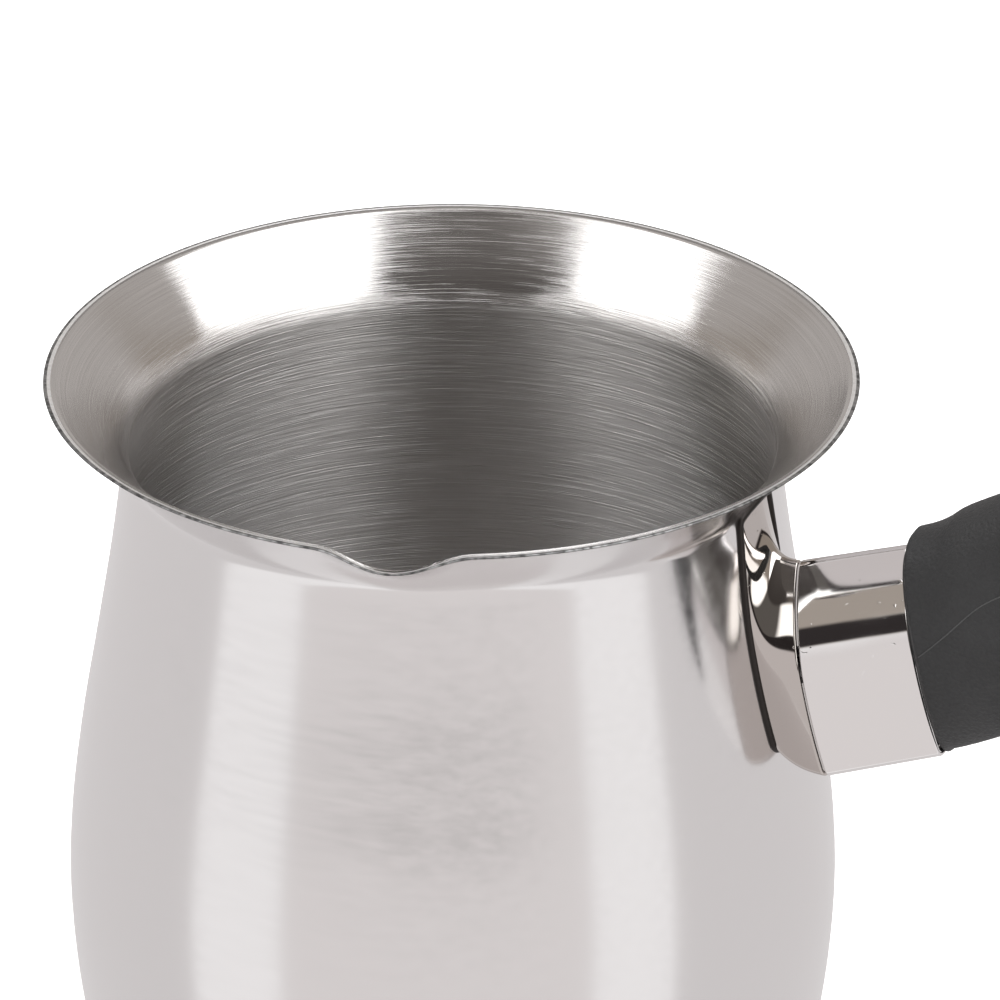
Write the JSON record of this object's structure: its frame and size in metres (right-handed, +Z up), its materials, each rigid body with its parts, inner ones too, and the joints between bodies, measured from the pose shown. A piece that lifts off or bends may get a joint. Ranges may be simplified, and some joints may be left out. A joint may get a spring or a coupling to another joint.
{
  "type": "turkish coffee pot",
  "caption": "Turkish coffee pot: bellied polished steel body with a flared rim and pinched pouring lip, and a long black upward-curving grip on a steel bracket and ferrule.",
  "frame": {"origin": "centre of the flat underside of the pot", "axes": "+Z up along the pot's axis, +X towards the handle; the pouring lip is on the -Y side, 73 degrees from +X"},
  "size_m": [0.2041, 0.0906, 0.1457],
  "materials": {
    "polished_steel": "polished stainless outside, circumferentially brushed inside",
    "mirror_steel": "mirror-polished stainless steel",
    "plain_steel": "plain mill-finish steel, hidden inside the bracket",
    "black_resin": "moulded phenolic resin with a fine pebble grain",
    "zinc_steel": "bright zinc-plated steel fasteners"
  },
  "bodies": {
    "root": {"pot_body": "polished_steel", "handle_bracket": "mirror_steel", "anchor_bar": "plain_steel", "ferrule": "mirror_steel", "grip": "black_resin", "flat_washer": "zinc_steel", "spring_washer": "zinc_steel", "tie_screw": "zinc_steel"}
  },
  "joints": []
}
